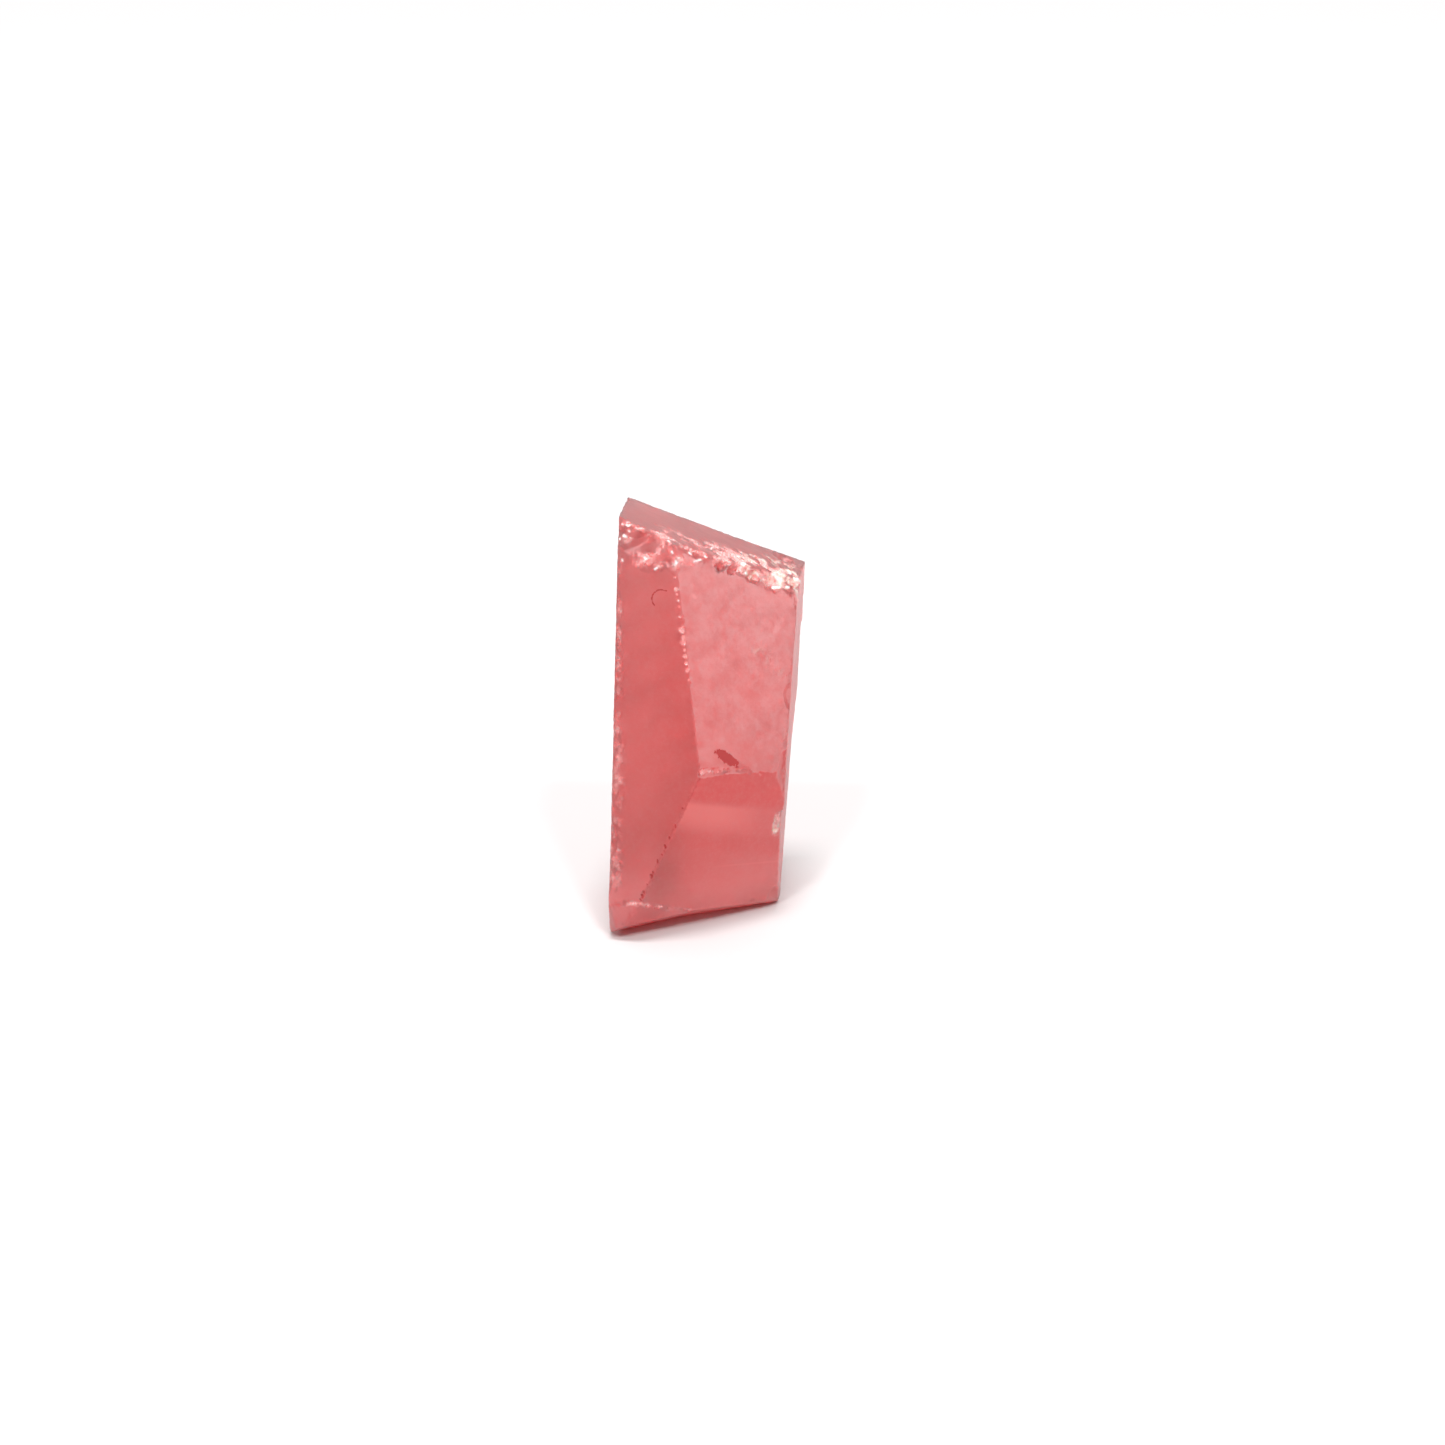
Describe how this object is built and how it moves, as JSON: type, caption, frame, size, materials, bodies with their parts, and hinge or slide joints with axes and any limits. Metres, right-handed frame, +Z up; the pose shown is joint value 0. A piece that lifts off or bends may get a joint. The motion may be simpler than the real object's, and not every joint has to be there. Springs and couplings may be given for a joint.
{
  "type": "rough sapphire crystal",
  "caption": "Rough pink-orange sapphire crystal: an upright broken block with flat faces meeting at a brow, a chipped crest and a flat foot.",
  "frame": {"origin": "on the surface that the stone stands on, under the middle of its bounding box", "axes": "+Z up along the tall crystal, -Y towards the front, where the three front faces meet at the brow, +X to the right seen from the front"},
  "size_m": [0.0074, 0.0082, 0.0162],
  "materials": {
    "sapphire": "translucent salmon-pink corundum, waxy and slightly frosted on its faces, with pale crushed chips along the crest and the edges"
  },
  "bodies": {
    "root": {"crystal": "sapphire"}
  },
  "joints": []
}
